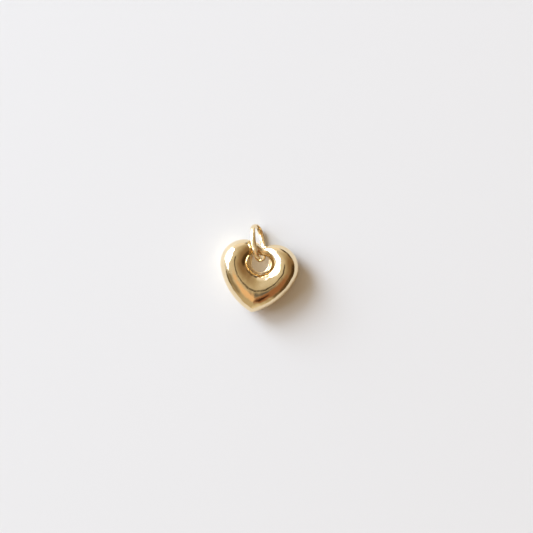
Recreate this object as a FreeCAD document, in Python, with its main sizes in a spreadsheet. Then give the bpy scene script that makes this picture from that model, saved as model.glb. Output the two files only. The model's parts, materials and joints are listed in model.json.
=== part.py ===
import FreeCAD, Part
import math
import os
import Sketcher

# Puffed open heart pendant with a loose oval bail ring, lying on its back on a table.
# Millimetres. +Z up, tip of the heart toward -Y, bail ring toward +Y.
# Origin: on the table, under the middle of the whole pendant's box.
#
# The heart is a hollow tube that closes on itself round a heart-shaped opening. It was struck
# as a front and a back half from thin sheet, and the two are joined along the middle plane.
# Every cross-section of the tube is seen in an upright plane through the pole, a point in the
# opening. A plane's bearing is 0 toward the tip and 180 toward the cleft.

SIZES = {
    # Outline of the heart, measured from the pole
    "lobe_radius": 4.03,
    "cleft_slope": 40.36,      # angle below the level at which a lobe runs into the cleft
    "flank_radius": 11.0,      # long arc from the lobe to the tip
    "flank_start": 19.1,       # angle below the level at which the lobe runs into the flank
    # Opening
    "opening_lobe_offset": 0.445,
    "opening_lobe_rise": 0.1,
    "opening_lobe_radius": 1.355,
    "opening_foot_drop": 0.34,
    "opening_foot_radius": 1.21,
    "lip_width": 0.12,         # how far the lip stands in from the opening's foot
    "lip_drop": 0.05,          # centre of the lip's round foot, behind the pole
    "lip_thickness": 0.3,      # middle plane to the lip's face
    "neck_width": 1.33,        # metal left between the opening and the cleft
    # Form of the tube
    "half_height": 2.3,        # middle plane to crown
    "neck_half_height": 0.95,  # the same on the neck, between opening and cleft
    "crown_share": 0.51,       # crown's place between the opening (0) and the outline (1)
    "sheet_thickness": 0.25,
    # Bail ring
    "band_width": 0.85,
    "band_thickness": 0.42,
    "neck_play": 0.73,         # room between the neck's crowns and the inside of the ring
    "ring_reach": 2.35,        # straight run of the ring's sides
    "ring_overhang": 0.15,     # from the line that the ring turns about to its near half circle's centre
    "edge_break": 0.08,        # bevel along the band's edges
    # Rest pose of the bail ring
    "ring_lean": 22.0,
    "ring_incline": 11.2,
    "ring_yaw": 17.2,
    "ring_side_shift": 0.57,
    "ring_neck_shift": 0.365,
    "ring_rise": 0.22,
    # Place of the pole in the frame
    "pole_forward": 0.88,
}

SECTION_COUNT = 8        # steps from the tip to the cleft
CROWN_EASE_TIP = 12.0    # degrees over which the crown line rounds the tip
CROWN_EASE_CLEFT = 5.0   # the same at the cleft
DIP_START = 95.0         # bearing at which the crown starts down to the neck
CAVITY_OVERRUN = 0.3     # the hollow is cut this far past the middle plane


def make_sheet(doc):
    sheet = doc.addObject("Spreadsheet::Sheet", "sizes")
    for row, (name, value) in enumerate(SIZES.items(), start=1):
        sheet.set("A%d" % row, name)
        sheet.set("B%d" % row, str(value))
        sheet.setAlias("B%d" % row, name)
    doc.recompute()
    return sheet


def size(name):
    """A cell of the sheet, as an expression gives it."""
    return "<<sizes>>." + name


def arc_reach(bearing, offset, rise, radius):
    """Distance from the pole, along a bearing, to an arc whose centre is (offset, rise)."""
    sine = math.sin(math.radians(bearing))
    cosine = math.cos(math.radians(bearing))
    along = "((%s) * %.9f - (%s) * %.9f)" % (offset, sine, rise, cosine)
    centre = "(%s)^2 + (%s)^2" % (offset, rise)
    return "(%s + sqrt((%s)^2 - (%s) + %s^2))" % (along, radius, centre, along)


def opening_top():
    """The opening's edge on the line of symmetry, forward of the pole."""
    crossing = "sqrt(%s^2 - %s^2)" % (size("opening_lobe_radius"), size("opening_lobe_offset"))
    return "(%s + %s)" % (size("opening_lobe_rise"), crossing)


def lobe_offset():
    """Centre of a lobe's arc, from the line of symmetry."""
    return "(%s * sin(%s * 1 deg))" % (size("lobe_radius"), size("cleft_slope"))


def lobe_rise():
    """Centre of a lobe's arc, forward of the pole: it leaves the neck its width."""
    crossing = "%s * cos(%s * 1 deg)" % (size("lobe_radius"), size("cleft_slope"))
    return "(%s + %s - %s)" % (opening_top(), size("neck_width"), crossing)


def flank_begins(sheet):
    """Bearing at which the outline passes from the flank to the lobe."""
    turn = "%s * 1 deg" % size("flank_start")
    across = "%s + %s * cos(%s)" % (lobe_offset(), size("lobe_radius"), turn)
    forward = "%s - %s * sin(%s)" % (lobe_rise(), size("lobe_radius"), turn)
    return math.degrees(math.atan2(value_of(sheet, across), -value_of(sheet, forward)))


def outline_reach(sheet, bearing, inset):
    """The heart's edge, or a line inside it by the inset."""
    if bearing > flank_begins(sheet):
        lobe = "(%s - %s)" % (size("lobe_radius"), inset)
        return arc_reach(bearing, lobe_offset(), lobe_rise(), lobe)
    step = "(%s - %s)" % (size("flank_radius"), size("lobe_radius"))
    turn = "%s * 1 deg" % size("flank_start")
    offset = "%s - %s * cos(%s)" % (lobe_offset(), step, turn)
    rise = "%s + %s * sin(%s)" % (lobe_rise(), step, turn)
    flank = "(%s - %s)" % (size("flank_radius"), inset)
    return arc_reach(bearing, offset, rise, flank)


def opening_reach(bearing, inset):
    """The opening's edge, or a line outside it by the inset."""
    foot = "(%s + %s)" % (size("opening_foot_radius"), inset)
    lobe = "(%s + %s)" % (size("opening_lobe_radius"), inset)
    lower = arc_reach(bearing, "0", "-" + size("opening_foot_drop"), foot)
    upper = arc_reach(bearing, size("opening_lobe_offset"), size("opening_lobe_rise"), lobe)
    return "max(%s; %s)" % (lower, upper)


def crown_reach(sheet, bearing, inset):
    """The top of the tube: a share of the way across, eased where the outline has its points."""
    if bearing < 90:
        eased = math.hypot(bearing, CROWN_EASE_TIP)
    else:
        eased = 180 - math.hypot(180 - bearing, CROWN_EASE_CLEFT)
    near = opening_reach(eased, inset)
    far = outline_reach(sheet, eased, inset)
    return "(%s + %s * (%s - %s))" % (near, size("crown_share"), far, near)


def crown_height(bearing):
    """Full height round most of the heart, down to the neck's at the cleft."""
    if bearing <= DIP_START:
        return size("half_height")
    swing = math.cos(math.pi * (bearing - DIP_START) / (180 - DIP_START))
    fall = "(%s - %s)" % (size("half_height"), size("neck_half_height"))
    return "(%s - %s * %.9f)" % (size("half_height"), fall, (1 - swing) / 2)


def value_of(sheet, expression):
    """The number that an expression of the sheet's cells gives now."""
    return float(sheet.evalExpression(expression))


def own_plane(body, role):
    """One of the body's own planes: XY_Plane, XZ_Plane or YZ_Plane."""
    for plane in body.Origin.OriginFeatures:
        if plane.Role == role:
            return plane


def quarter_ellipse(sketch, centre, across, height, outward):
    """Arc from the crown, over the centre, to the middle plane, with its long axis held."""
    middle = FreeCAD.Vector(centre, 0, 0)
    tall = height > across
    if tall:
        long_end = FreeCAD.Vector(centre, height, 0)
        short_end = FreeCAD.Vector(centre - across, 0, 0)
    else:
        long_end = FreeCAD.Vector(centre + across, 0, 0)
        short_end = FreeCAD.Vector(centre, height, 0)
    ellipse = Part.Ellipse(long_end, short_end, middle)
    quarter = math.pi / 2
    start = quarter * (0 if outward else 1) - (quarter if tall else 0)
    index = sketch.addGeometry(Part.ArcOfEllipse(ellipse, start, start + quarter), False)
    axis_half = max(height, across)
    if tall:
        ends = (FreeCAD.Vector(centre, -axis_half, 0), FreeCAD.Vector(centre, axis_half, 0))
    else:
        ends = (FreeCAD.Vector(centre - axis_half, 0, 0), FreeCAD.Vector(centre + axis_half, 0, 0))
    axis = sketch.addGeometry(Part.LineSegment(*ends), True)
    sketch.addConstraint(Sketcher.Constraint("InternalAlignment:EllipseMajorDiameter", axis, index))
    sketch.addConstraint(Sketcher.Constraint("Vertical" if tall else "Horizontal", axis))
    return index


def bind(sketch, constraint, name, expression):
    index = sketch.addConstraint(constraint)
    sketch.renameConstraint(index, name)
    sketch.setExpression("Constraints." + name, expression)


def section_sketch(body, sheet, name, bearing, inset, overrun):
    """Half of the tube's section at one bearing: two quarter ellipses that meet at the crown."""
    reach = {
        "near": opening_reach(bearing, inset),
        "crown": crown_reach(sheet, bearing, inset),
        "far": outline_reach(sheet, bearing, inset),
        "height": "(%s - %s)" % (crown_height(bearing), inset),
    }
    near, crown, far, height = [value_of(sheet, reach[key]) for key in ("near", "crown", "far", "height")]
    sketch = body.newObject("Sketcher::SketchObject", name)
    sketch.AttachmentSupport = [(own_plane(body, "XZ_Plane"), "")]
    sketch.MapMode = "FlatFace"
    turn = FreeCAD.Rotation(FreeCAD.Vector(0, 1, 0), bearing - 90)
    sketch.AttachmentOffset = FreeCAD.Placement(FreeCAD.Vector(0, 0, 0), turn)

    outer = quarter_ellipse(sketch, crown, far - crown, height, True)
    inner = quarter_ellipse(sketch, crown, crown - near, height, False)
    level = -1
    sketch.addConstraint(Sketcher.Constraint("PointOnObject", outer, 3, level))
    sketch.addConstraint(Sketcher.Constraint("Coincident", outer, 2, inner, 1))
    sketch.addConstraint(Sketcher.Constraint("Coincident", outer, 3, inner, 3))
    sketch.addConstraint(Sketcher.Constraint("Vertical", outer, 3, outer, 2))
    sketch.addConstraint(Sketcher.Constraint("PointOnObject", outer, 1, level))
    sketch.addConstraint(Sketcher.Constraint("PointOnObject", inner, 2, level))
    bind(sketch, Sketcher.Constraint("DistanceX", -1, 1, outer, 3, crown), "crown", reach["crown"])
    bind(sketch, Sketcher.Constraint("DistanceX", -1, 1, outer, 1, far), "far", reach["far"])
    bind(sketch, Sketcher.Constraint("DistanceX", -1, 1, inner, 2, near), "near", reach["near"])
    bind(sketch, Sketcher.Constraint("DistanceY", outer, 3, outer, 2, height), "height", reach["height"])

    corners = [(near, 0), (near, -overrun), (far, -overrun), (far, 0)]
    if not overrun:
        corners = [(near, 0), (far, 0)]
    lines = []
    for start, end in zip(corners[:-1], corners[1:]):
        segment = Part.LineSegment(FreeCAD.Vector(*start, 0), FreeCAD.Vector(*end, 0))
        lines.append(sketch.addGeometry(segment, False))
    sketch.addConstraint(Sketcher.Constraint("Coincident", inner, 2, lines[0], 1))
    for line, following in zip(lines[:-1], lines[1:]):
        sketch.addConstraint(Sketcher.Constraint("Coincident", line, 2, following, 1))
    sketch.addConstraint(Sketcher.Constraint("Coincident", lines[-1], 2, outer, 1))
    if overrun:
        sketch.addConstraint(Sketcher.Constraint("Vertical", lines[0]))
        sketch.addConstraint(Sketcher.Constraint("Horizontal", lines[1]))
        sketch.addConstraint(Sketcher.Constraint("Vertical", lines[2]))
        sketch.addConstraint(Sketcher.Constraint("DistanceY", lines[0], 2, lines[0], 1, overrun))
    return sketch


def oval(sketch, sheet, name, radius, drop, reach):
    """Two half circles joined by straight runs along the sketch's X. The near one's centre is
    below the sketch's own by the drop, and the far one's is above it by the reach."""
    near = -value_of(sheet, drop)
    far = value_of(sheet, reach)
    wide = value_of(sheet, radius)
    up = FreeCAD.Vector(0, 0, 1)
    near_circle = Part.Circle(FreeCAD.Vector(near, 0, 0), up, wide)
    far_circle = Part.Circle(FreeCAD.Vector(far, 0, 0), up, wide)
    near_arc = sketch.addGeometry(Part.ArcOfCircle(near_circle, math.pi / 2, 3 * math.pi / 2), False)
    far_arc = sketch.addGeometry(Part.ArcOfCircle(far_circle, -math.pi / 2, math.pi / 2), False)
    runs = []
    for side in (wide, -wide):
        segment = Part.LineSegment(FreeCAD.Vector(near, side, 0), FreeCAD.Vector(far, side, 0))
        runs.append(sketch.addGeometry(segment, False))
    sketch.addConstraint(Sketcher.Constraint("Tangent", near_arc, 1, runs[0], 1))
    sketch.addConstraint(Sketcher.Constraint("Tangent", near_arc, 2, runs[1], 1))
    sketch.addConstraint(Sketcher.Constraint("Tangent", far_arc, 2, runs[0], 2))
    sketch.addConstraint(Sketcher.Constraint("Tangent", far_arc, 1, runs[1], 2))
    sketch.addConstraint(Sketcher.Constraint("PointOnObject", near_arc, 3, -1))
    sketch.addConstraint(Sketcher.Constraint("PointOnObject", far_arc, 3, -1))
    bind(sketch, Sketcher.Constraint("DistanceX", near_arc, 3, -1, 1, -near), name + "_drop", drop)
    bind(sketch, Sketcher.Constraint("DistanceX", -1, 1, far_arc, 3, far), name + "_reach", reach)
    bind(sketch, Sketcher.Constraint("Radius", near_arc, wide), name, radius)


def bed_outline(sketch, sheet):
    """The opening's edge grown to the middle of the sheet: a foot arc and two lobe arcs."""
    half_sheet = size("sheet_thickness") + " / 2"
    sizes = {
        "across": size("opening_lobe_offset"),
        "rise": size("opening_lobe_rise"),
        "drop": size("opening_foot_drop"),
        "lobe": "%s + %s" % (size("opening_lobe_radius"), half_sheet),
        "foot": "%s + %s" % (size("opening_foot_radius"), half_sheet),
    }
    at = {name: value_of(sheet, expression) for name, expression in sizes.items()}
    up = FreeCAD.Vector(0, 0, 1)
    quarter = math.pi / 2

    def arc(across, rise, radius, start, end):
        circle = Part.Circle(FreeCAD.Vector(across, rise, 0), up, radius)
        return sketch.addGeometry(Part.ArcOfCircle(circle, start * quarter, end * quarter), False)

    # The arcs start a little off, and the constraints bring their ends together.
    foot = arc(0, -at["drop"], at["foot"], -1.5, -0.5)
    right = arc(at["across"], at["rise"], at["lobe"], -0.8, 1.2)
    left = arc(-at["across"], at["rise"], at["lobe"], 0.8, 2.8)
    for one, following in ((foot, right), (right, left), (left, foot)):
        sketch.addConstraint(Sketcher.Constraint("Coincident", one, 2, following, 1))
    sketch.addConstraint(Sketcher.Constraint("PointOnObject", foot, 3, -2))
    sketch.addConstraint(Sketcher.Constraint("Symmetric", left, 3, right, 3, -2))
    sketch.addConstraint(Sketcher.Constraint("Equal", left, right))
    constraints = {
        "across": Sketcher.Constraint("DistanceX", -1, 1, right, 3, at["across"]),
        "rise": Sketcher.Constraint("DistanceY", -1, 1, right, 3, at["rise"]),
        "drop": Sketcher.Constraint("DistanceY", foot, 3, -1, 1, at["drop"]),
        "lobe": Sketcher.Constraint("Radius", right, at["lobe"]),
        "foot": Sketcher.Constraint("Radius", foot, at["foot"]),
    }
    for name, constraint in constraints.items():
        bind(sketch, constraint, name, sizes[name])


def make_lip(body, sheet):
    """A flat lip round the sides and the foot of the opening, bedded in the sheet of the wall. Its
    edge is a long oval that runs up into the neck, so there is no lip where the ring hangs."""
    bed = body.newObject("Sketcher::SketchObject", body.Label + "_lip_bed")
    bed.AttachmentSupport = [(own_plane(body, "XY_Plane"), "")]
    bed.MapMode = "FlatFace"
    bed_outline(bed, sheet)
    plate = body.newObject("PartDesign::Pad", body.Label + "_lip_plate")
    plate.Profile = bed
    plate.setExpression("Length", size("lip_thickness"))
    edge = body.newObject("Sketcher::SketchObject", body.Label + "_lip_edge")
    edge.AttachmentSupport = [(own_plane(body, "XY_Plane"), "")]
    edge.MapMode = "FlatFace"
    turn = FreeCAD.Rotation(FreeCAD.Vector(0, 0, 1), 90)
    edge.AttachmentOffset = FreeCAD.Placement(FreeCAD.Vector(0, 0, 0), turn)
    foot = "(%s + %s)" % (size("opening_foot_drop"), size("opening_foot_radius"))
    radius = "(%s - %s - %s)" % (foot, size("lip_width"), size("lip_drop"))
    oval(edge, sheet, "lip", radius, size("lip_drop"), opening_top())
    cut = body.newObject("PartDesign::Pocket", body.Label + "_lip_cut")
    cut.Profile = edge
    cut.Type = "ThroughAll"
    cut.Midplane = True


def bearings():
    """Closer together at the tip and the cleft, where the outline turns most."""
    steps = range(SECTION_COUNT + 1)
    return [90 * (1 - math.cos(math.pi * step / SECTION_COUNT)) for step in steps]


def loft(body, kind, name, sketches):
    feature = body.newObject("PartDesign::" + kind, name)
    feature.Profile = sketches[0]
    feature.Sections = sketches[1:]
    feature.Ruled = False
    feature.Closed = False
    return feature


def make_shell(doc, sheet, name, turned):
    """One struck half: the right side lofted tip to cleft, hollowed from the joint, then mirrored."""
    body = doc.addObject("PartDesign::Body", name)
    body.Label = name
    make_lip(body, sheet)
    outside = []
    inside = []
    for number, bearing in enumerate(bearings()):
        outside.append(section_sketch(body, sheet, "%s_outside_%d" % (name, number), bearing, "0", 0))
    form = loft(body, "AdditiveLoft", name + "_form", outside)
    for number, bearing in enumerate(bearings()):
        label = "%s_inside_%d" % (name, number)
        inside.append(section_sketch(body, sheet, label, bearing, size("sheet_thickness"), CAVITY_OVERRUN))
    hollow = loft(body, "SubtractiveLoft", name + "_hollow", inside)
    mirrored = body.newObject("PartDesign::Mirrored", name + "_other_side")
    mirrored.Originals = [form, hollow]
    mirrored.MirrorPlane = (own_plane(body, "YZ_Plane"), [""])
    body.Tip = mirrored
    turn = "rotationy(%d deg)" % (180 if turned else 0)
    place = "vector(0; %s; %s)" % (size("pole_forward"), size("half_height"))
    body.setExpression("Placement", "placement(%s; %s)" % (place, turn))
    return body


def make_ring(doc, sheet, name):
    """A flat band bent to a long oval, standing on edge through the opening and round the neck."""
    body = doc.addObject("PartDesign::Body", name)
    body.Label = name
    sketch = body.newObject("Sketcher::SketchObject", name + "_outline")
    sketch.AttachmentSupport = [(own_plane(body, "YZ_Plane"), "")]
    sketch.MapMode = "FlatFace"
    inside = "(%s + %s)" % (size("neck_half_height"), size("neck_play"))
    outside = "(%s + %s)" % (inside, size("band_thickness"))
    far_centre = "(%s - %s)" % (size("ring_reach"), size("ring_overhang"))
    oval(sketch, sheet, "outside", outside, size("ring_overhang"), far_centre)
    oval(sketch, sheet, "inside", inside, size("ring_overhang"), far_centre)
    band = body.newObject("PartDesign::Pad", name + "_band")
    band.Profile = sketch
    band.Midplane = True
    band.setExpression("Length", size("band_width"))
    doc.recompute()
    broken = body.newObject("PartDesign::Chamfer", name + "_broken_edges")
    flat_edges = []
    for number, edge in enumerate(band.Shape.Edges, start=1):
        ends = [vertex.Point.x for vertex in edge.Vertexes]
        if abs(ends[0] - ends[-1]) < 1e-6:
            flat_edges.append("Edge%d" % number)
    broken.Base = (band, flat_edges)
    broken.setExpression("Size", size("edge_break"))
    body.Tip = broken
    neck_middle = "%s + %s / 2" % (opening_top(), size("neck_width"))
    forward = "%s + %s + %s" % (size("pole_forward"), neck_middle, size("ring_neck_shift"))
    rise = "%s + %s" % (size("half_height"), size("ring_rise"))
    place = "vector(-%s; %s; %s)" % (size("ring_side_shift"), forward, rise)
    turn = "rotationz(%s * 1 deg) * rotationx(-%s * 1 deg) * rotationy(-%s * 1 deg)" % (
        size("ring_yaw"), size("ring_incline"), size("ring_lean"))
    body.setExpression("Placement", "placement(%s; %s)" % (place, turn))
    return body


def check(doc, bodies):
    for obj in doc.Objects:
        if "Invalid" in obj.State or "Error" in obj.State:
            raise RuntimeError("%s failed: %s" % (obj.Name, obj.getStatusString()))
    for body in bodies:
        if body.Shape.isNull() or not body.Shape.isValid():
            raise RuntimeError("%s has no valid shape" % body.Label)


def main():
    doc = FreeCAD.newDocument("pendant")
    sheet = make_sheet(doc)
    bodies = [
        make_shell(doc, sheet, "front_shell", False),
        make_shell(doc, sheet, "back_shell", True),
        make_ring(doc, sheet, "bail_ring"),
    ]
    doc.recompute()
    check(doc, bodies)
    os.makedirs("parts", exist_ok=True)
    for body in bodies:
        body.Shape.exportStep("parts/%s.step" % body.Label)
        box = body.Shape.optimalBoundingBox()
        print(body.Label, "volume %.2f" % body.Shape.Volume, "faces", len(body.Shape.Faces), box)


main()
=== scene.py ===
import json
import math

import bpy
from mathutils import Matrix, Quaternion


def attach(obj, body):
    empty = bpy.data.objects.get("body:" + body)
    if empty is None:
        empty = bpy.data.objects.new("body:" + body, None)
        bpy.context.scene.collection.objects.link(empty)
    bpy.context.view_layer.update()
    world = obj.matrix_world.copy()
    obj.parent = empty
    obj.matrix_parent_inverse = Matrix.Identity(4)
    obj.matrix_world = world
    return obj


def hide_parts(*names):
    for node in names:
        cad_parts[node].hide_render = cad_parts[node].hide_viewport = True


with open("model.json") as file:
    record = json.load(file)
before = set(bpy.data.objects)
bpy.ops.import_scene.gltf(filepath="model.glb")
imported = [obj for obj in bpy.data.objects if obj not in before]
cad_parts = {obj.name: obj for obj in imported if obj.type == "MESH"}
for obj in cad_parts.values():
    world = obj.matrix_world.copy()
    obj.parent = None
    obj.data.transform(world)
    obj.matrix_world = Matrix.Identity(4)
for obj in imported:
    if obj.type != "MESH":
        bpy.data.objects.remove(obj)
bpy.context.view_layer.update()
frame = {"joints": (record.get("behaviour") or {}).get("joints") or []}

# The heart: a front and a back half, each struck from thin 14 karat yellow gold sheet over a
# heart-shaped form, with a funnel pressed in round the opening. The halves are soldered rim to rim
# along the middle plane, filed flush and polished, which leaves a hair-thin seam and soft dents.
MM = 0.001
HALF_HEIGHT = 2.3
HEART_SIZES = {           # millimetres, radians and one share
    "Lobe offset": 2.61,
    "Lobe radius": 4.03,
    "Flank radius": 11.0,
    "Flank start": math.radians(19.1),
    "Opening lobe offset": 0.445,
    "Opening lobe rise": 0.1,
    "Opening lobe radius": 1.355,
    "Opening foot drop": 0.34,
    "Opening foot radius": 1.21,
    "Lip radius": 1.38,
    "Lip drop": 0.05,
    "Lip edge height": 0.24,
    "Lip rise": 0.07,
    "Lip ends": 0.05,
    "Neck width": 1.33,
    "Half height": HALF_HEIGHT,
    "Neck half height": 0.95,
    "Crown share": 0.51,
    "Sheet thickness": 0.25,
    "Dip start": math.radians(95),
    "Crown ease at tip": math.radians(12),
    "Crown ease at cleft": math.radians(5),
    "Edge ease at tip": math.radians(1.0),
    "Edge ease at cleft": math.radians(1.2),
    "Seam depth": 0.022,
    "Seam width": 0.07,
    "Dent depth": 0.07,
    "Dent spread": 1.5,
    "Dent-free rim": 0.35,
}
POLE_FORWARD = 0.88       # the point in the opening that every section of the tube is seen from
AROUND = 480              # steps round the opening
OUTER_STEPS = 138         # steps over the outside, from the opening to the outline
INNER_STEPS = 22          # steps back along the inside of the sheet
TURN_CROWDING = 0.6       # how far the steps crowd at the tip and the cleft, from 0 to 1
SECTION_CROWDING = 0.8    # how far they crowd at the opening's edge and the outline
OPENING_BLEND = 0.08      # rounds the corner between the opening's foot and lobes
LEAST_ACROSS = 0.3        # keeps the lip's straight sides from running off along the middle line
MERGE_DISTANCE = 0.0005   # closes the grid where its ends meet
JOINT_EDGE_ANGLE = math.radians(50)


def add(tree, kind, *values, out=0, **settings):
    """Adds a node, sets it, links or fills its inputs in order or by name, and gives an output."""
    node = tree.nodes.new(kind)
    named = settings.pop("inputs", {})
    for setting, value in settings.items():
        setattr(node, setting, value)
    for key, value in list(enumerate(values)) + list(named.items()):
        if isinstance(value, bpy.types.NodeSocket):
            tree.links.new(value, node.inputs[key])
        elif value is not None:
            node.inputs[key].default_value = value
    return node.outputs[out] if node.outputs else node


def shape_tree(name, sizes):
    """An empty Geometry Nodes tree with a named input for each size, and its input sockets."""
    tree = bpy.data.node_groups.new(name, "GeometryNodeTree")
    tree.interface.new_socket("Geometry", in_out="OUTPUT", socket_type="NodeSocketGeometry")
    tree.interface.new_socket("Material", in_out="INPUT", socket_type="NodeSocketMaterial")
    for size in sizes:
        tree.interface.new_socket(size, in_out="INPUT", socket_type="NodeSocketFloat")
    return tree, tree.nodes.new("NodeGroupInput").outputs


def plain_mesh(name, tree, sizes, material):
    """The mesh that the tree makes at these sizes, as an object with no modifier left on it."""
    maker = bpy.data.objects.new(name + "_maker", bpy.data.meshes.new(name + "_start"))
    bpy.context.scene.collection.objects.link(maker)
    modifier = maker.modifiers.new("Form", "NODES")
    modifier.node_group = tree
    for item in tree.interface.items_tree:
        if item.in_out == "INPUT":
            modifier[item.identifier] = material if item.name == "Material" else sizes[item.name]
    evaluated = maker.evaluated_get(bpy.context.evaluated_depsgraph_get())
    mesh = bpy.data.meshes.new_from_object(evaluated)
    mesh.name = name
    maker.modifiers.remove(modifier)
    bpy.data.objects.remove(maker)
    piece = bpy.data.objects.new(name, mesh)
    bpy.context.scene.collection.objects.link(piece)
    return piece


def to_linear(code):
    """A linear colour with full opacity, from an sRGB hex value such as F0C878."""
    channels = [int(code[i:i + 2], 16) / 255 for i in (0, 2, 4)]
    return [c / 12.92 if c <= 0.04045 else ((c + 0.055) / 1.055) ** 2.4 for c in channels] + [1.0]


def add_output(tree, *sockets):
    """Ends a tree: links the sockets to its outputs in order."""
    end = tree.nodes.new("NodeGroupOutput")
    for number, socket in enumerate(sockets):
        tree.links.new(socket, end.inputs[number])


def arc_reach_group():
    """Distance from the pole, in a direction, to an arc of a given centre and radius."""
    group = bpy.data.node_groups.new("Reach to an arc", "GeometryNodeTree")
    for socket, kind in (("Direction", "NodeSocketVector"), ("Centre", "NodeSocketVector"),
                         ("Radius", "NodeSocketFloat")):
        group.interface.new_socket(socket, in_out="INPUT", socket_type=kind)
    group.interface.new_socket("Reach", in_out="OUTPUT", socket_type="NodeSocketFloat")
    given = group.nodes.new("NodeGroupInput").outputs
    along = add(group, "ShaderNodeVectorMath", given["Centre"], given["Direction"], out=1,
                operation="DOT_PRODUCT")
    centre_squared = add(group, "ShaderNodeVectorMath", given["Centre"], given["Centre"], out=1,
                         operation="DOT_PRODUCT")
    radius_squared = add(group, "ShaderNodeMath", given["Radius"], 2.0, operation="POWER")
    spare = add(group, "ShaderNodeMath", radius_squared, centre_squared, operation="SUBTRACT")
    under_root = add(group, "ShaderNodeMath", along, along, spare, operation="MULTIPLY_ADD")
    root = add(group, "ShaderNodeMath", under_root, operation="SQRT")
    reach = add(group, "ShaderNodeMath", along, root, operation="ADD")
    add_output(group, reach)
    return group


def heart_tree():
    """Half of the heart: every section, in an upright plane through the pole, is two quarter
    ellipses that meet at the crown. One grid is bent to the section and closed both ways."""
    tree, size = shape_tree("Half heart", HEART_SIZES)
    arc_reach = arc_reach_group()

    # The grid's X runs once round the pole, its Y over the outside and back along the inside.
    loop_steps = OUTER_STEPS + INNER_STEPS + 2
    grid = add(tree, "GeometryNodeMeshGrid", 2.0, float(loop_steps), AROUND + 1, loop_steps + 1)
    place = add(tree, "GeometryNodeInputPosition")
    place_parts = add(tree, "ShaderNodeSeparateXYZ", place).node.outputs
    side = add(tree, "ShaderNodeMath", place_parts[0], operation="SIGN")
    turn_share = add(tree, "ShaderNodeMath", place_parts[0], operation="ABSOLUTE")
    step = add(tree, "ShaderNodeMath", place_parts[1], loop_steps / 2, operation="ADD")

    # Bearings lie closer together at the tip and the cleft.
    sway = add(tree, "ShaderNodeMath", turn_share, 2 * math.pi, operation="MULTIPLY")
    sway = add(tree, "ShaderNodeMath", sway, operation="SINE")
    turn_share = add(tree, "ShaderNodeMath", sway, -TURN_CROWDING / (2 * math.pi), turn_share,
                     operation="MULTIPLY_ADD")
    bearing = add(tree, "ShaderNodeMath", turn_share, math.pi, operation="MULTIPLY")

    # Share of the way over the outside, less the share of the way back along the inside.
    out_share = add(tree, "ShaderNodeMapRange", step, 0.0, float(OUTER_STEPS), 0.0, 1.0, clamp=True)
    back_share = add(tree, "ShaderNodeMapRange", step, OUTER_STEPS + 1.0,
                     float(OUTER_STEPS + 1 + INNER_STEPS), 0.0, 1.0, clamp=True)
    over = add(tree, "ShaderNodeMath", out_share, back_share, operation="SUBTRACT")
    sway = add(tree, "ShaderNodeMath", over, 2 * math.pi, operation="MULTIPLY")
    sway = add(tree, "ShaderNodeMath", sway, operation="SINE")
    over = add(tree, "ShaderNodeMath", sway, -SECTION_CROWDING / (2 * math.pi), over,
               operation="MULTIPLY_ADD")
    over_angle = add(tree, "ShaderNodeMath", over, math.pi, operation="MULTIPLY")
    after_outside = add(tree, "ShaderNodeMath", step, OUTER_STEPS + 0.5, operation="GREATER_THAN")
    before_end = add(tree, "ShaderNodeMath", step, loop_steps - 0.5, operation="LESS_THAN")
    inside = add(tree, "ShaderNodeMath", after_outside, before_end, operation="MULTIPLY")
    inset = add(tree, "ShaderNodeMath", inside, size["Sheet thickness"], operation="MULTIPLY")

    def eased_bearing(tip_ease, cleft_ease):
        """The bearing, kept off the tip and the cleft by a rounding."""
        lower = add(tree, "ShaderNodeCombineXYZ", bearing, tip_ease, 0.0)
        lower = add(tree, "ShaderNodeVectorMath", lower, out=1, operation="LENGTH")
        from_cleft = add(tree, "ShaderNodeMath", math.pi, bearing, operation="SUBTRACT")
        upper = add(tree, "ShaderNodeCombineXYZ", from_cleft, cleft_ease, 0.0)
        upper = add(tree, "ShaderNodeVectorMath", upper, out=1, operation="LENGTH")
        upper = add(tree, "ShaderNodeMath", math.pi, upper, operation="SUBTRACT")
        past_side = add(tree, "ShaderNodeMath", bearing, math.pi / 2, operation="GREATER_THAN")
        return add(tree, "ShaderNodeMix", inputs={"Factor": past_side, "A": lower, "B": upper})

    def direction(angle):
        """The level direction at a bearing: 0 is toward the tip."""
        sine = add(tree, "ShaderNodeMath", angle, operation="SINE")
        cosine = add(tree, "ShaderNodeMath", angle, operation="COSINE")
        forward = add(tree, "ShaderNodeMath", cosine, -1.0, operation="MULTIPLY")
        return add(tree, "ShaderNodeCombineXYZ", sine, forward, 0.0)

    # The opening's lobes and foot, and the lobe's centre that leaves the neck its width.
    lobe_spot = add(tree, "ShaderNodeCombineXYZ", size["Opening lobe offset"],
                    size["Opening lobe rise"], 0.0)
    foot_rise = add(tree, "ShaderNodeMath", size["Opening foot drop"], -1.0, operation="MULTIPLY")
    foot_spot = add(tree, "ShaderNodeCombineXYZ", 0.0, foot_rise, 0.0)
    forward = (0.0, 1.0, 0.0)
    opening_top = add(tree, "GeometryNodeGroup", node_tree=arc_reach,
                      inputs={"Direction": forward, "Centre": lobe_spot,
                              "Radius": size["Opening lobe radius"]})
    level_lobe = add(tree, "ShaderNodeCombineXYZ", size["Lobe offset"], 0.0, 0.0)
    crossing = add(tree, "GeometryNodeGroup", node_tree=arc_reach,
                   inputs={"Direction": forward, "Centre": level_lobe,
                           "Radius": size["Lobe radius"]})
    cleft = add(tree, "ShaderNodeMath", opening_top, size["Neck width"], operation="ADD")
    lobe_rise = add(tree, "ShaderNodeMath", cleft, crossing, operation="SUBTRACT")
    lobe_centre = add(tree, "ShaderNodeCombineXYZ", size["Lobe offset"], lobe_rise, 0.0)

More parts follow.
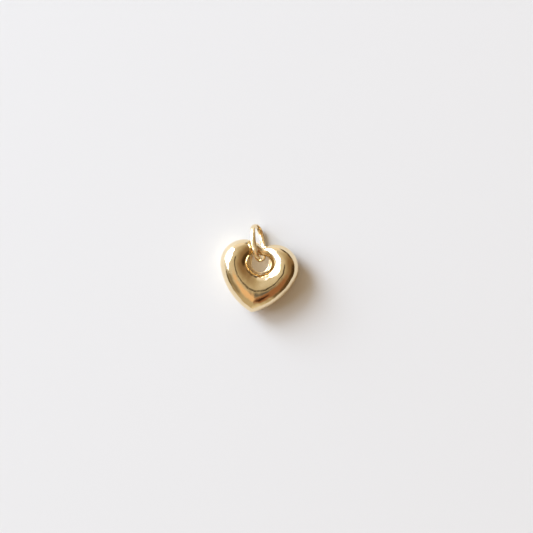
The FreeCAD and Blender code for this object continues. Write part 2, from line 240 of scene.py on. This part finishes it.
    # The flank's arc runs on from the lobe's at the flank's start.
    start_cosine = add(tree, "ShaderNodeMath", size["Flank start"], operation="COSINE")
    start_sine = add(tree, "ShaderNodeMath", size["Flank start"], operation="SINE")
    start_fall = add(tree, "ShaderNodeMath", start_sine, -1.0, operation="MULTIPLY")
    start_way = add(tree, "ShaderNodeCombineXYZ", start_cosine, start_fall, 0.0)
    radius_step = add(tree, "ShaderNodeMath", size["Lobe radius"], size["Flank radius"],
                      operation="SUBTRACT")
    flank_centre = add(tree, "ShaderNodeVectorMath", start_way, operation="SCALE",
                       inputs={"Scale": radius_step})
    flank_centre = add(tree, "ShaderNodeVectorMath", flank_centre, lobe_centre, operation="ADD")
    flank_point = add(tree, "ShaderNodeVectorMath", start_way, operation="SCALE",
                      inputs={"Scale": size["Lobe radius"]})
    flank_point = add(tree, "ShaderNodeVectorMath", flank_point, lobe_centre, operation="ADD")
    point_parts = add(tree, "ShaderNodeSeparateXYZ", flank_point).node.outputs
    point_drop = add(tree, "ShaderNodeMath", point_parts[1], -1.0, operation="MULTIPLY")
    flank_bearing = add(tree, "ShaderNodeMath", point_parts[0], point_drop, operation="ARCTAN2")

    def opening_reach(way, grown):
        """From the pole to the opening's edge: the farther of its foot's arc and its lobe's."""
        foot = add(tree, "ShaderNodeMath", size["Opening foot radius"], grown, operation="ADD")
        lobe = add(tree, "ShaderNodeMath", size["Opening lobe radius"], grown, operation="ADD")
        lower = add(tree, "GeometryNodeGroup", node_tree=arc_reach,
                    inputs={"Direction": way, "Centre": foot_spot, "Radius": foot})
        upper = add(tree, "GeometryNodeGroup", node_tree=arc_reach,
                    inputs={"Direction": way, "Centre": lobe_spot, "Radius": lobe})
        return add(tree, "ShaderNodeMath", lower, upper, OPENING_BLEND, operation="SMOOTH_MAX")

    def outline_reach(angle, way, shrunk):
        """From the pole to the heart's outline: the flank's arc, and from its start the lobe's."""
        flank = add(tree, "ShaderNodeMath", size["Flank radius"], shrunk, operation="SUBTRACT")
        lobe = add(tree, "ShaderNodeMath", size["Lobe radius"], shrunk, operation="SUBTRACT")
        lower = add(tree, "GeometryNodeGroup", node_tree=arc_reach,
                    inputs={"Direction": way, "Centre": flank_centre, "Radius": flank})
        upper = add(tree, "GeometryNodeGroup", node_tree=arc_reach,
                    inputs={"Direction": way, "Centre": lobe_centre, "Radius": lobe})
        on_lobe = add(tree, "ShaderNodeMath", angle, flank_bearing, operation="GREATER_THAN")
        return add(tree, "ShaderNodeMix", inputs={"Factor": on_lobe, "A": lower, "B": upper})

    def lip_reach(way):
        """The lip's edge: a round foot with two straight sides that run up into the neck."""
        foot_rise = add(tree, "ShaderNodeMath", size["Lip drop"], -1.0, operation="MULTIPLY")
        foot_spot = add(tree, "ShaderNodeCombineXYZ", 0.0, foot_rise, 0.0)
        foot = add(tree, "GeometryNodeGroup", node_tree=arc_reach,
                   inputs={"Direction": way, "Centre": foot_spot, "Radius": size["Lip radius"]})
        across = add(tree, "ShaderNodeSeparateXYZ", way).node.outputs[0]
        across = add(tree, "ShaderNodeMath", across, LEAST_ACROSS, operation="MAXIMUM")
        sides = add(tree, "ShaderNodeMath", size["Lip radius"], across, operation="DIVIDE")
        sides_bearing = add(tree, "ShaderNodeMath", size["Lip radius"], size["Lip drop"],
                            operation="ARCTAN2")
        past_foot = add(tree, "ShaderNodeMath", bearing, sides_bearing, operation="GREATER_THAN")
        return add(tree, "ShaderNodeMix", inputs={"Factor": past_foot, "A": foot, "B": sides})

    # Opening's edge, crown and outline along the bearing, and the crown's height.
    edge_bearing = eased_bearing(size["Edge ease at tip"], size["Edge ease at cleft"])
    edge_way = direction(edge_bearing)
    bearing_way = direction(bearing)
    near = opening_reach(bearing_way, inset)
    far = outline_reach(edge_bearing, edge_way, inset)
    crown_bearing = eased_bearing(size["Crown ease at tip"], size["Crown ease at cleft"])
    crown_way = direction(crown_bearing)
    crown_near = opening_reach(crown_way, 0.0)
    crown_far = outline_reach(crown_bearing, crown_way, 0.0)
    crown = add(tree, "ShaderNodeMix",
                inputs={"Factor": size["Crown share"], "A": crown_near, "B": crown_far})
    dip_share = add(tree, "ShaderNodeMapRange", bearing, size["Dip start"], math.pi, 0.0, math.pi,
                    clamp=True)
    dip = add(tree, "ShaderNodeMath", dip_share, operation="COSINE")
    dip = add(tree, "ShaderNodeMath", dip, -0.5, 0.5, operation="MULTIPLY_ADD")
    height = add(tree, "ShaderNodeMix",
                 inputs={"Factor": dip, "A": size["Half height"], "B": size["Neck half height"]})
    height = add(tree, "ShaderNodeMath", height, inset, operation="SUBTRACT")

    # The section's point: how far out along the bearing, and how far up from the middle plane.
    swing = add(tree, "ShaderNodeMath", over_angle, operation="COSINE")
    toward_opening = add(tree, "ShaderNodeMath", swing, 0.0, operation="GREATER_THAN")
    edge = add(tree, "ShaderNodeMix", inputs={"Factor": toward_opening, "A": far, "B": near})
    edge_share = add(tree, "ShaderNodeMath", swing, operation="ABSOLUTE")
    reach = add(tree, "ShaderNodeMix", inputs={"Factor": edge_share, "A": crown, "B": edge})
    lift = add(tree, "ShaderNodeMath", over_angle, operation="SINE")
    up = add(tree, "ShaderNodeMath", lift, height, operation="MULTIPLY")

    # The lip round the sides and the foot of the opening: its face falls a little to its edge.
    outside = add(tree, "ShaderNodeMath", 1.0, inside, operation="SUBTRACT")
    lip = add(tree, "ShaderNodeMath", lip_reach(bearing_way), near, size["Lip ends"],
              operation="SMOOTH_MIN")
    lip_width = add(tree, "ShaderNodeMath", near, lip, operation="SUBTRACT")
    lip_top = add(tree, "ShaderNodeMath", size["Lip edge height"], size["Lip rise"],
                  operation="ADD")
    lip_share = add(tree, "ShaderNodeMapRange", up, size["Lip edge height"], lip_top, 1.0, 0.0,
                    interpolation_type="SMOOTHSTEP")
    lip_share = add(tree, "ShaderNodeMath", lip_share, toward_opening, operation="MULTIPLY")
    lip_share = add(tree, "ShaderNodeMath", lip_share, outside, operation="MULTIPLY")
    lip_shift = add(tree, "ShaderNodeMath", lip_share, lip_width, operation="MULTIPLY")
    reach = add(tree, "ShaderNodeMath", reach, lip_shift, operation="SUBTRACT")

    # The filed seam: a shallow groove at the middle plane, on the outside only.
    seam_share = add(tree, "ShaderNodeMapRange", up, 0.0, size["Seam width"], 1.0, 0.0, clamp=True)
    seam_share = add(tree, "ShaderNodeMath", seam_share, 2.0, operation="POWER")
    seam = add(tree, "ShaderNodeMath", seam_share, size["Seam depth"], operation="MULTIPLY")
    seam = add(tree, "ShaderNodeMath", seam, outside, operation="MULTIPLY")
    seam_way = add(tree, "ShaderNodeMath", toward_opening, 2.0, -1.0, operation="MULTIPLY_ADD")
    reach = add(tree, "ShaderNodeMath", seam, seam_way, reach, operation="MULTIPLY_ADD")

    # The same point in space, on its own side of the heart.
    way_parts = add(tree, "ShaderNodeSeparateXYZ", bearing_way).node.outputs
    across = add(tree, "ShaderNodeMath", way_parts[0], side, operation="MULTIPLY")
    way = add(tree, "ShaderNodeCombineXYZ", across, way_parts[1], 0.0)
    point = add(tree, "ShaderNodeVectorMath", way, operation="SCALE", inputs={"Scale": reach})
    rise = add(tree, "ShaderNodeCombineXYZ", 0.0, 0.0, up)
    point = add(tree, "ShaderNodeVectorMath", point, rise, operation="ADD")

    # Soft dents of the struck sheet: both faces move in, toward the middle of the section. A Mix
    # node's inputs are given by number, because each kind of value has inputs of the same names.
    spread = add(tree, "ShaderNodeMath", 1.0, size["Dent spread"], operation="DIVIDE")
    dent = add(tree, "ShaderNodeTexNoise", noise_dimensions="3D",
               inputs={"Vector": point, "Scale": spread, "Detail": 1.5, "Roughness": 0.4})
    away = add(tree, "ShaderNodeMapRange", up, 0.0, size["Dent-free rim"], 0.0, 1.0, clamp=True)
    dent = add(tree, "ShaderNodeMath", dent, away, operation="MULTIPLY")
    dent_share = add(tree, "ShaderNodeMath", size["Dent depth"], size["Half height"],
                     operation="DIVIDE")
    dent = add(tree, "ShaderNodeMath", dent, dent_share, operation="MULTIPLY")
    middle = add(tree, "ShaderNodeVectorMath", way, operation="SCALE", inputs={"Scale": crown})
    dented = add(tree, "ShaderNodeMix", data_type="VECTOR", out=1,
                 inputs={0: dent, 4: point, 5: middle})
    bent = add(tree, "GeometryNodeSetPosition", grid, inputs={"Position": dented})
    closed = add(tree, "GeometryNodeMergeByDistance", bent, inputs={"Distance": MERGE_DISTANCE})
    closed = add(tree, "GeometryNodeFlipFaces", closed)

    sized = add(tree, "GeometryNodeTransform", closed, inputs={"Scale": (MM, MM, MM)})
    smooth = add(tree, "GeometryNodeSetShadeSmooth", sized)
    real = add(tree, "GeometryNodeRealizeInstances", smooth)
    finished = add(tree, "GeometryNodeSetMaterial", real, inputs={"Material": size["Material"]})
    add_output(tree, finished)
    return tree


HAZE_PATCH = 2.5 * MM            # handled places are a few millimetres wide
HAZE_FROM, HAZE_TO = 0.35, 0.7   # the span of the patches' noise over which the haze builds up
HAZE_GAIN = 2.2                  # haziest place over clearest
HAIRLINE_LENGTH = 0.9 * MM
HAIRLINE_TURN = (0.3, 0.2, 0.9)  # turns the noise itself, off the heart's own axes
HAIRLINE_THINNING = (1.0, 9.0, 5.0)    # the lines run from side to side
HAIRLINE_DEPTH = 0.02 * MM
LIP_MIDDLE = (0.0, POLE_FORWARD * MM, HALF_HEIGHT * MM)
LIP_REACH = 1.8 * MM             # the dull finish goes this far from the middle of the lip
LIP_FADE = 1.3                   # and has faded at this many times as far


def gold(name, scratch_strength, haze, dull_in_opening=0.0):
    """Polished 14 karat yellow gold: a mirror finish off a felt wheel. The eye sees pale warm
    reflections, broken by faint hairlines and by a slight haze where it has been handled."""
    material = bpy.data.materials.new(name)
    material.use_nodes = True
    tree = material.node_tree
    tree.nodes.clear()
    where = add(tree, "ShaderNodeTexCoord", out=3)
    patches = add(tree, "ShaderNodeTexNoise", inputs={"Vector": where, "Scale": 1 / HAZE_PATCH,
                                                     "Detail": 3.0, "Roughness": 0.6})
    colour = add(tree, "ShaderNodeMix", data_type="RGBA", out=2,
                 inputs={0: patches, 6: to_linear("FAE6C0"), 7: to_linear("F5DDB0")})
    # Real hairlines are finer than a hundredth of a millimetre. These are 0.1 mm wide, to show.
    lines = add(tree, "ShaderNodeMapping", inputs={"Vector": where, "Rotation": HAIRLINE_TURN,
                                                  "Scale": HAIRLINE_THINNING})
    hairlines = add(tree, "ShaderNodeTexNoise",
                    inputs={"Vector": lines, "Scale": 1 / HAIRLINE_LENGTH, "Detail": 4.0,
                            "Roughness": 0.65})
    roughness = add(tree, "ShaderNodeMapRange", patches, HAZE_FROM, HAZE_TO, haze,
                    haze * HAZE_GAIN)
    if dull_in_opening:
        # The polishing wheel doesn't reach down to the lip in the opening.
        off_lip = add(tree, "ShaderNodeVectorMath", where, LIP_MIDDLE, out=1, operation="DISTANCE")
        dullness = add(tree, "ShaderNodeMapRange", off_lip, LIP_REACH, LIP_REACH * LIP_FADE,
                       dull_in_opening, 0.0)
        roughness = add(tree, "ShaderNodeMath", roughness, dullness, operation="ADD")
    bump = add(tree, "ShaderNodeBump", inputs={"Height": hairlines, "Strength": scratch_strength,
                                              "Distance": HAIRLINE_DEPTH})
    shader = add(tree, "ShaderNodeBsdfPrincipled",
                 inputs={"Base Color": colour, "Metallic": 1.0, "Roughness": roughness,
                         "Normal": bump})
    add(tree, "ShaderNodeOutputMaterial", shader)
    return material


heart_gold = gold("polished_yellow_gold_sheet", scratch_strength=0.12, haze=0.07,
                  dull_in_opening=0.28)
half_heart = heart_tree()
for half in ("front", "back"):
    shell = plain_mesh("heart_%s_half" % half, half_heart, HEART_SIZES, heart_gold)
    if half == "back":
        for vertex in shell.data.vertices:
            vertex.co.z = -vertex.co.z
        shell.data.flip_normals()
    for vertex in shell.data.vertices:
        vertex.co.y += POLE_FORWARD * MM
        vertex.co.z += HALF_HEIGHT * MM
    shell.data.set_sharp_from_angle(angle=JOINT_EDGE_ANGLE)
    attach(shell, "heart")
    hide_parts("%s_shell" % half)

# The bail: a flat band of the same gold bent to a long oval on a mandrel, soldered shut and hung
# loose through the opening and round the neck. It was tumbled rather than wheel-polished, so its
# faces are a little less flat and its edges are worn round.
RING_SIZES = {
    "Band width": 0.85,
    "Band thickness": 0.42,
    "Middle radius": 1.89,
    "Near centre": 0.15,
    "Reach": 2.35,
    "Edge radius": 0.1,
    "Outer thinning": 0.5,
    "Inner thinning": 0.3,
    "Crest offset": 0.1,
    "Bow": 0.2,
    "Upper run twist": math.radians(-15.0),
    "Lean": math.radians(22.0),
    "Incline": math.radians(11.2),
    "Yaw": math.radians(17.2),
    "Wander": 0.012,
}
RING_STEPS = 220          # steps round the circle that the oval is made from
SECTION_POINTS = 56       # points round the band's section
CORNER_STEPS = 6          # steps round each worn edge
BOW_END = 1.5             # bow and twist die out this many half runs from the run's middle
WANDER_SCALE = 0.9        # about as many waves to the millimetre
ring_joint = next(joint for joint in frame["joints"] if joint["name"] == "bail_swing")


def ring_tree():
    """A long oval path swept with a rounded band section, then turned to the pose it lies in."""
    tree, size = shape_tree("Bail", RING_SIZES)
    circle = add(tree, "GeometryNodeCurvePrimitiveCircle", RING_STEPS,
                 inputs={"Radius": size["Middle radius"]})
    # The far half of the circle moves out by the reach, and then the whole oval back a little.
    place = add(tree, "GeometryNodeInputPosition")
    forward = add(tree, "ShaderNodeSeparateXYZ", place).node.outputs[1]
    far_half = add(tree, "ShaderNodeMath", forward, 0.0, operation="GREATER_THAN")
    shift = add(tree, "ShaderNodeMath", far_half, size["Reach"], operation="MULTIPLY")
    shift = add(tree, "ShaderNodeMath", shift, size["Near centre"], operation="SUBTRACT")
    shift = add(tree, "ShaderNodeCombineXYZ", 0.0, shift, 0.0)
    oval = add(tree, "GeometryNodeSetPosition", circle, inputs={"Offset": shift})
    even = add(tree, "GeometryNodeResampleCurve", oval, inputs={"Count": 2 * RING_STEPS})
    # The straight runs bow out a little at their middle.
    spot = add(tree, "ShaderNodeSeparateXYZ", add(tree, "GeometryNodeInputPosition")).node.outputs
    half_run = add(tree, "ShaderNodeMath", size["Reach"], 0.5, operation="MULTIPLY")
    run_middle = add(tree, "ShaderNodeMath", half_run, size["Near centre"], operation="SUBTRACT")
    off_run_middle = add(tree, "ShaderNodeMath", spot[1], run_middle, operation="SUBTRACT")
    off_run_middle = add(tree, "ShaderNodeMath", off_run_middle, operation="ABSOLUTE")
    bow_end = add(tree, "ShaderNodeMath", half_run, BOW_END, operation="MULTIPLY")
    run_share = add(tree, "ShaderNodeMapRange", off_run_middle, 0.0, bow_end, 1.0, 0.0,
                    interpolation_type="SMOOTHSTEP")
    run_side = add(tree, "ShaderNodeMath", spot[0], operation="SIGN")
    bow = add(tree, "ShaderNodeMath", run_share, run_side, operation="MULTIPLY")
    bow = add(tree, "ShaderNodeMath", bow, size["Bow"], operation="MULTIPLY")
    even = add(tree, "GeometryNodeSetPosition", even,
               inputs={"Offset": add(tree, "ShaderNodeCombineXYZ", bow, 0.0, 0.0)})
    upright = add(tree, "GeometryNodeSetCurveNormal", even, mode="Z_UP")
    # The run that lies uppermost is twisted a little, as happens when a band is bent by hand.
    twist = add(tree, "ShaderNodeMath", spot[0], 0.0, operation="LESS_THAN")
    twist = add(tree, "ShaderNodeMath", twist, run_share, operation="MULTIPLY")
    twist = add(tree, "ShaderNodeMath", twist, size["Upper run twist"], operation="MULTIPLY")
    upright = add(tree, "GeometryNodeSetCurveTilt", upright, inputs={"Tilt": twist})
    section = add(tree, "GeometryNodeCurvePrimitiveQuadrilateral",
                  inputs={"Width": size["Band thickness"], "Height": size["Band width"]})
    section = add(tree, "GeometryNodeFilletCurve", section,
                  inputs={"Radius": size["Edge radius"], "Count": CORNER_STEPS,
                          "Limit Radius": True},
                  mode="POLY")
    # Points between the corners, so that the faces can be domed: the band thins to its edges.
    section = add(tree, "GeometryNodeSubdivideCurve", section, inputs={"Cuts": 1})
    section = add(tree, "GeometryNodeResampleCurve", section, inputs={"Count": SECTION_POINTS})
    section_place = add(tree, "GeometryNodeInputPosition")
    section_parts = add(tree, "ShaderNodeSeparateXYZ", section_place).node.outputs
    off_crest = add(tree, "ShaderNodeMath", section_parts[1], size["Band width"],
                    operation="DIVIDE")
    off_crest = add(tree, "ShaderNodeMath", off_crest, size["Crest offset"], operation="SUBTRACT")
    off_crest = add(tree, "ShaderNodeMath", off_crest, 2.0, operation="MULTIPLY")
    off_crest = add(tree, "ShaderNodeMath", off_crest, off_crest, operation="MULTIPLY")
    outer_face = add(tree, "ShaderNodeMath", section_parts[0], 0.0, operation="GREATER_THAN")
    thinning = add(tree, "ShaderNodeMix", inputs={"Factor": outer_face, "A": size["Inner thinning"],
                                                 "B": size["Outer thinning"]})
    thinning = add(tree, "ShaderNodeMath", off_crest, thinning, operation="MULTIPLY")
    fall = add(tree, "ShaderNodeMath", section_parts[0], thinning, operation="MULTIPLY")
    fall = add(tree, "ShaderNodeMath", fall, -1.0, operation="MULTIPLY")
    domed = add(tree, "GeometryNodeSetPosition", section,
                inputs={"Offset": add(tree, "ShaderNodeCombineXYZ", fall, 0.0, 0.0)})
    band = add(tree, "GeometryNodeCurveToMesh", upright, domed)
    # A hand-bent band wanders by a little less than a hundredth of a millimetre.
    wander = add(tree, "ShaderNodeTexNoise", out=1,
                 inputs={"Vector": add(tree, "GeometryNodeInputPosition"),
                         "Scale": WANDER_SCALE, "Detail": 1.0})
    wander = add(tree, "ShaderNodeVectorMath", wander, (0.5, 0.5, 0.5), operation="SUBTRACT")
    wander = add(tree, "ShaderNodeVectorMath", wander, operation="SCALE",
                 inputs={"Scale": size["Wander"]})
    band = add(tree, "GeometryNodeSetPosition", band, inputs={"Offset": wander})
    # The oval was drawn flat; it stands on edge along its own length, then takes its pose.
    on_edge = add(tree, "GeometryNodeTransform", band,
                  inputs={"Rotation": (0.0, math.pi / 2, 0.0)})
    lean = add(tree, "ShaderNodeMath", size["Lean"], -1.0, operation="MULTIPLY")
    leaned = add(tree, "GeometryNodeTransform", on_edge,
                 inputs={"Rotation": add(tree, "ShaderNodeCombineXYZ", 0.0, lean, 0.0)})
    incline = add(tree, "ShaderNodeMath", size["Incline"], -1.0, operation="MULTIPLY")
    posed = add(tree, "GeometryNodeTransform", leaned,
                inputs={"Rotation": add(tree, "ShaderNodeCombineXYZ", incline, 0.0, size["Yaw"]),
                        "Scale": (MM, MM, MM), "Translation": ring_joint["pos_m"]})
    smooth = add(tree, "GeometryNodeSetShadeSmooth", posed)
    real = add(tree, "GeometryNodeRealizeInstances", smooth)
    finished = add(tree, "GeometryNodeSetMaterial", real, inputs={"Material": size["Material"]})
    add_output(tree, finished)
    return tree


ring_gold = gold("tumbled_yellow_gold_band", scratch_strength=0.2, haze=0.13)
bail = plain_mesh("bail_band", ring_tree(), RING_SIZES, ring_gold)
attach(bail, "bail")
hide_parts("bail_ring")

# The table: a plain slab of pale honed stone with a matt face. The lamps light it to near white,
# and it throws that light back under the heart.
TABLE_SIDE = 1.2
bpy.ops.mesh.primitive_plane_add(size=TABLE_SIDE, location=(0, 0, 0))
table = bpy.context.object
table.name = "table_top"
table_stone = bpy.data.materials.new("honed_pale_stone")
table_stone.use_nodes = True
table_nodes = table_stone.node_tree
table_nodes.nodes.clear()
table_shader = add(table_nodes, "ShaderNodeBsdfPrincipled",
                   inputs={"Base Color": to_linear("E2DED8"), "Roughness": 0.7})
add(table_nodes, "ShaderNodeOutputMaterial", table_shader)
table.data.materials.append(table_stone)

# The camera looks straight down from well above the pendant, and is turned so that the heart
# lies askew as in the photograph.
IMAGE_TURN = math.radians(10.04)
IMAGE_SIDE = 89.81 * MM
CAMERA_DISTANCE = 0.35
LOOKS_AT = (1.185 * MM, 0.608 * MM)
camera_data = bpy.data.cameras.new("camera")
camera_data.sensor_width = 36.0
camera_data.lens = camera_data.sensor_width * CAMERA_DISTANCE / IMAGE_SIDE
camera_data.clip_start = 0.01
camera = bpy.data.objects.new("camera", camera_data)
bpy.context.scene.collection.objects.link(camera)
camera.location = (LOOKS_AT[0], LOOKS_AT[1], HALF_HEIGHT * MM + CAMERA_DISTANCE)
camera.rotation_euler = (0, 0, IMAGE_TURN)
bpy.context.scene.camera = camera


def way_to(bearing, from_zenith):
    """The way from the pendant to a lamp or a place in the room, from angles in degrees. The
    bearing is in the image, anticlockwise from the right."""
    bearing = math.radians(bearing) + IMAGE_TURN
    from_zenith = math.radians(from_zenith)
    return (math.sin(from_zenith) * math.cos(bearing), math.sin(from_zenith) * math.sin(bearing),
            math.cos(from_zenith))


def place_lamp(name, kind, bearing, from_zenith, distance, roll, watts, code):
    """A lamp that faces the pendant. Its roll is anticlockwise as seen from the pendant."""
    data = bpy.data.lights.new(name, kind)
    data.energy = watts
    data.color = to_linear(code)[:3]
    light = bpy.data.objects.new(name, data)
    bpy.context.scene.collection.objects.link(light)
    light.location = [distance * part for part in way_to(bearing, from_zenith)]
    facing = (-light.location).to_track_quat("-Z", "Y")
    light.rotation_euler = (facing @ Quaternion((0, 0, 1), -math.radians(roll))).to_euler()
    return light


# A large soft box to the left and a little behind, tipped on its corner and cool beside the warm
# room, with a smaller lamp before it that gives the shadow its direction.
DAYLIGHT = "D2E4FC"
soft_box = place_lamp("soft_box", "AREA", bearing=154, from_zenith=67, distance=3.0, roll=32,
                      watts=129.0, code=DAYLIGHT)
soft_box.data.shape = "RECTANGLE"
soft_box.data.size = 2.45
soft_box.data.size_y = 3.9
key_lamp = place_lamp("key_lamp", "AREA", bearing=138, from_zenith=61, distance=2.8, roll=0,
                      watts=89.0, code=DAYLIGHT)
key_lamp.data.shape = "DISK"
key_lamp.data.size = 1.5

# A weak narrow lamp over the opening lights the table that shows through it, as light thrown down
# by the gold does. The metal doesn't show it.
OPENING_LAMP_HEIGHT = 0.3
OPENING_LAMP_REACH = 2.2 * MM
opening_lamp = place_lamp("lamp_over_opening", "SPOT", bearing=0, from_zenith=0,
                          distance=OPENING_LAMP_HEIGHT, roll=0, watts=1.1, code="FFE6C2")
opening_lamp.location.y += POLE_FORWARD * MM
opening_lamp.data.spot_size = 2 * math.atan(OPENING_LAMP_REACH / OPENING_LAMP_HEIGHT)
opening_lamp.data.spot_blend = 0.3
opening_lamp.visible_glossy = False

# The room that the metal reflects: beige all over, with soft patches laid on it one by one.
# Their angles are in degrees, as a lamp's are.
ROOM_BASE = "BEAF92"
ROOM_PATCHES = (          # name, bearing, angle from the zenith, radius, softness, colour
    ("lit ceiling", 152, 38, 30, 20, "DCD4C4"),
    ("window sill", 160, 88, 38, 10, "EEF0F2"),
    ("back wall", 104, 90, 34, 14, "F4ECE2"),
    ("right wall", 5, 62, 42, 22, "8C7152"),
    ("pale chair", -92, 94, 26, 8, "DED2BC"),
    ("dark cupboard", -34, 74, 23, 9, "5E482E"),
    ("dark doorway", -6, 76, 20, 12, "46341E"),
    ("dark shelf", 68, 86, 12, 5, "4E3C28"),
    ("dark shelf end", 42, 86, 13, 6, "5E4C38"),
    ("dark chest", -158, 84, 11, 8, "5E5233"),
    ("dark chest top", -150, 62, 12, 7, "8F826C"),
    ("warm card edge", -62, 42, 22, 8, "9A6C4C"),
    ("warm card", -124, 30, 17, 7, "EEC69C"),
    ("warm card shadow", -73, 43, 7, 4, "3A1E10"),
    ("grey panel overhead", -78, 16, 8, 4, "69655F"),
    ("dark spot overhead", 0, 0, 4, 2, "2A2018"),
)
world = bpy.data.worlds.new("room")
world.use_nodes = True
bpy.context.scene.world = world
room = world.node_tree
room.nodes.clear()
ray = add(room, "ShaderNodeTexCoord", out=0)
shade = to_linear(ROOM_BASE)
for name, bearing, from_zenith, radius, softness, code in ROOM_PATCHES:
    nearness = add(room, "ShaderNodeVectorMath", ray, way_to(bearing, from_zenith), out=1,
                   operation="DOT_PRODUCT")
    off_axis = add(room, "ShaderNodeMath", nearness, operation="ARCCOSINE")
    cover = add(room, "ShaderNodeMapRange", off_axis, math.radians(radius - softness),
                math.radians(radius + softness), 1.0, 0.0, interpolation_type="SMOOTHSTEP")
    shade = add(room, "ShaderNodeMix", data_type="RGBA", out=2, label=name,
                inputs={0: cover, 6: shade, 7: to_linear(code)})
air = add(room, "ShaderNodeBackground", shade, 1.0)
add(room, "ShaderNodeOutputWorld", air)

bpy.context.scene.view_settings.view_transform = "Standard"
